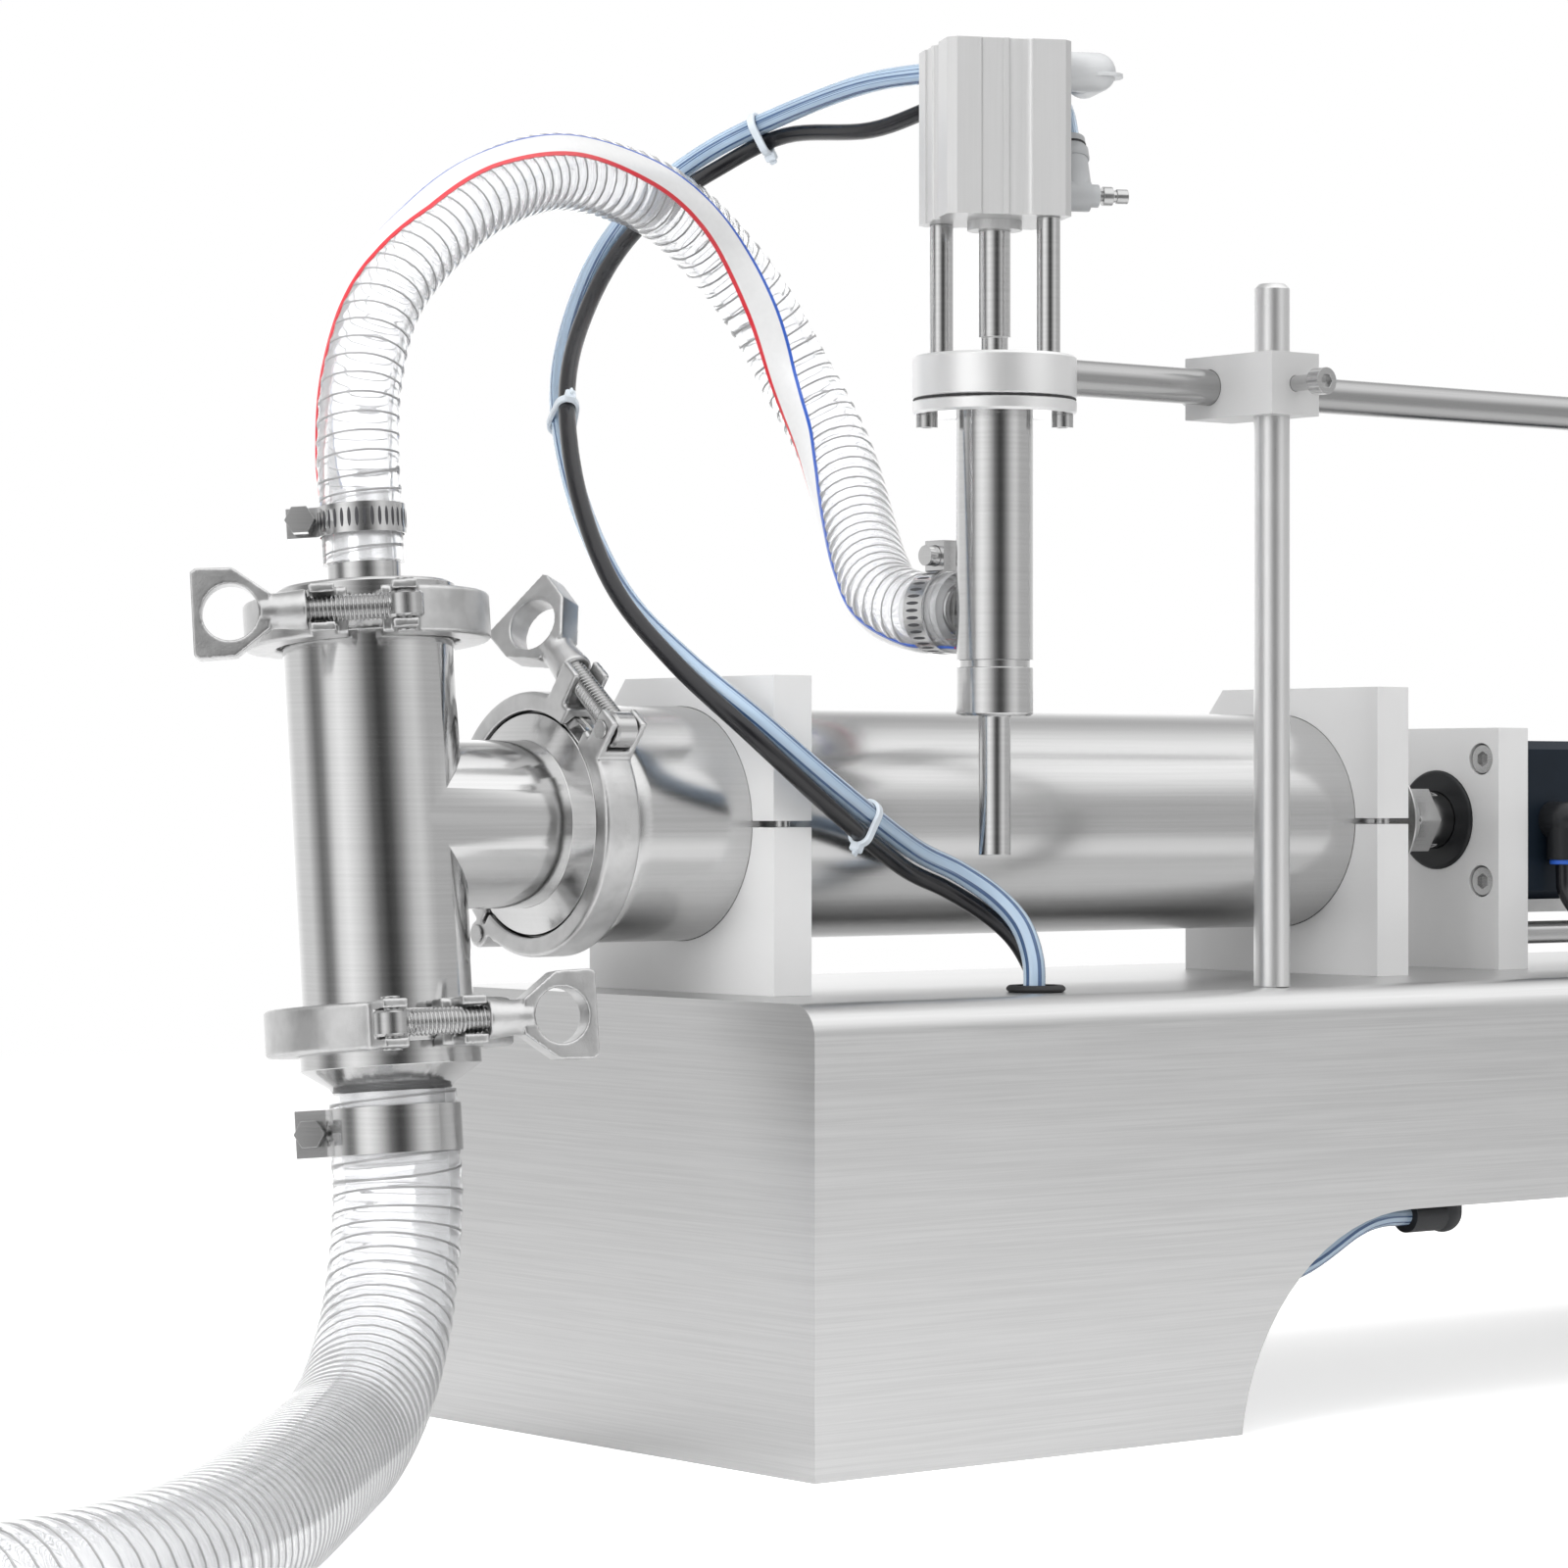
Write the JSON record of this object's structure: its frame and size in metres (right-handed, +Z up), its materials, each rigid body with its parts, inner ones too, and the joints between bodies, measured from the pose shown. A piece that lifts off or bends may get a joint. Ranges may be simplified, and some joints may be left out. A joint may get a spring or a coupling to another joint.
{
  "type": "pneumatic liquid filling machine",
  "caption": "Bench-top pneumatic piston filler: air cylinder drives a product cylinder through a tee with check valves, and a hose feeds a shut-off nozzle on a post.",
  "frame": {"origin": "centre of the four bench bolt holes, on the surface that the base stands on", "axes": "+X along the cylinders from the tee to the handwheel, +Y to the back, +Z up"},
  "size_m": [1.2829, 0.3731, 0.4383],
  "materials": {
    "brushed_sheet": "brushed along the machine",
    "satin_block": "pale satin, bead blasted",
    "fine_steel": "fine turned satin",
    "bright_steel": "bright, lightly polished",
    "cast_steel": "cast and satin polished",
    "extruded_aluminium": "clear anodised",
    "grey_plastic": "satin moulded",
    "dark_blue": "satin anodised",
    "black_plastic": "satin moulded",
    "black_rubber": "matte",
    "white_plastic": "smooth",
    "clear_hose": "clear with a steel helix",
    "blue_tube": "translucent",
    "black_tube": "smooth"
  },
  "bodies": {
    "frame": {"base_frame": "brushed_sheet", "saddles": "satin_block", "saddle_caps": "satin_block", "block_screws": "bright_steel", "product_cylinder": "fine_steel", "tee_body": "bright_steel", "ferrule_gaskets": "white_plastic", "outlet_adapter": "fine_steel", "inlet_adapter": "fine_steel", "valve_cages": "fine_steel", "outlet_spring": "bright_steel", "inlet_spring": "bright_steel", "top_clamp_halves": "cast_steel", "side_clamp_halves": "cast_steel", "bottom_clamp_halves": "cast_steel", "clamp_pins": "bright_steel", "air_mounts": "satin_block", "rod_gland": "black_plastic", "air_barrel": "dark_blue", "air_cylinder_caps": "dark_blue", "sensor_rail": "extruded_aluminium", "cylinder_elbows": "black_plastic", "grommets": "black_rubber", "post": "fine_steel", "hose_clamps": "bright_steel", "discharge_hose": "clear_hose", "suction_hose": "clear_hose", "blue_air_tube": "blue_tube", "black_air_tube": "black_tube", "base_air_tubes": "black_tube", "control_valve": "black_plastic", "air_inlet": "bright_steel"},
    "pistons": {"product_piston": "white_plastic", "piston_seals": "black_rubber", "rod_coupling": "fine_steel", "air_piston_rod": "fine_steel"},
    "outlet_valve": {"outlet_poppet": "white_plastic"},
    "inlet_valve": {"inlet_poppet": "white_plastic"},
    "top_bolt": {"top_eye_bolt": "bright_steel"},
    "side_bolt": {"side_eye_bolt": "bright_steel"},
    "bottom_bolt": {"bottom_eye_bolt": "bright_steel"},
    "top_nut": {"top_wing_nut": "cast_steel"},
    "side_nut": {"side_wing_nut": "cast_steel"},
    "bottom_nut": {"bottom_wing_nut": "cast_steel"},
    "arm": {"cross_clamp": "satin_block", "arm_rod": "fine_steel", "arm_screws": "bright_steel", "nozzle_flange": "fine_steel", "nozzle_body": "fine_steel", "nozzle_tip": "fine_steel", "tie_rods": "fine_steel", "actuator_body": "extruded_aluminium", "actuator_elbow": "grey_plastic", "flow_control": "grey_plastic", "nozzle_hose_clamp": "bright_steel"},
    "plunger": {"plunger_rod": "fine_steel", "plunger_seal": "white_plastic"},
    "needle": {"needle_knob": "bright_steel"},
    "wheel": {"handwheel": "black_plastic"},
    "carriage": {"sensor_carriage": "grey_plastic"}
  },
  "joints": [
    {"name": "piston_stroke", "type": "slide", "parent": "frame", "child": "pistons", "axis": [-1, 0, 0], "range_m": [0, 0.25]},
    {"name": "inlet_valve_lift", "type": "slide", "parent": "frame", "child": "inlet_valve", "axis": [0, 0.0958, 0.9954], "range_m": [0, 0.008], "stiffness_N_per_m": 40, "springref_m": -0.005, "deforming": ["inlet_spring"]},
    {"name": "outlet_valve_lift", "type": "slide", "parent": "frame", "child": "outlet_valve", "axis": [0, 0.0958, 0.9954], "range_m": [0, 0.008], "stiffness_N_per_m": 40, "springref_m": -0.005, "deforming": ["outlet_spring"]},
    {"name": "top_bolt_swing", "type": "hinge", "parent": "frame", "child": "top_bolt", "pos_m": [-0.47759, -0.03505, 0.25666], "axis": [0, 0.0958, 0.9954], "range_deg": [0, 80]},
    {"name": "top_nut_spin", "type": "hinge", "parent": "top_bolt", "child": "top_nut", "pos_m": [-0.51035, -0.01222, 0.25446], "axis": [-0.8192, 0.5709, -0.055], "continuous": true},
    {"name": "side_bolt_swing", "type": "hinge", "parent": "frame", "child": "side_bolt", "pos_m": [-0.4022, -0.03747, 0.22097], "axis": [1, 0, 0], "range_deg": [0, 80]},
    {"name": "side_nut_spin", "type": "hinge", "parent": "side_bolt", "child": "side_nut", "pos_m": [-0.4022, -0.00595, 0.24559], "axis": [0, 0.788, 0.6157], "continuous": true},
    {"name": "bottom_bolt_swing", "type": "hinge", "parent": "frame", "child": "bottom_bolt", "pos_m": [-0.48717, -0.042, 0.13576], "axis": [0, -0.0958, -0.9954], "range_deg": [0, 80]},
    {"name": "bottom_nut_spin", "type": "hinge", "parent": "bottom_bolt", "child": "bottom_nut", "pos_m": [-0.44892, -0.05364, 0.13689], "axis": [0.9563, -0.291, 0.028], "continuous": true},
    {"name": "arm_height", "type": "slide", "parent": "frame", "child": "arm", "axis": [0, 0, 1], "range_m": [-0.04, 0.02], "deforming": ["discharge_hose", "blue_air_tube", "black_air_tube"]},
    {"name": "shut_off", "type": "slide", "parent": "arm", "child": "plunger", "axis": [0, 0, 1], "range_m": [0, 0.01]},
    {"name": "needle_spin", "type": "hinge", "parent": "arm", "child": "needle", "pos_m": [-0.24804, -0.08334, 0.388], "axis": [0.8988, -0.4384, 0], "continuous": true},
    {"name": "wheel_turn", "type": "hinge", "parent": "frame", "child": "wheel", "pos_m": [0.3885, -0.021, 0.1525], "axis": [-1, 0, 0], "range_deg": [0, 7200]},
    {"name": "carriage_slide", "type": "slide", "parent": "frame", "child": "carriage", "axis": [-1, 0, 0], "range_m": [0, 0.2005]}
  ],
  "couplings": [
    {"joint": "carriage_slide", "follows": "wheel_turn", "m_per_rad": 0.0015915}
  ]
}
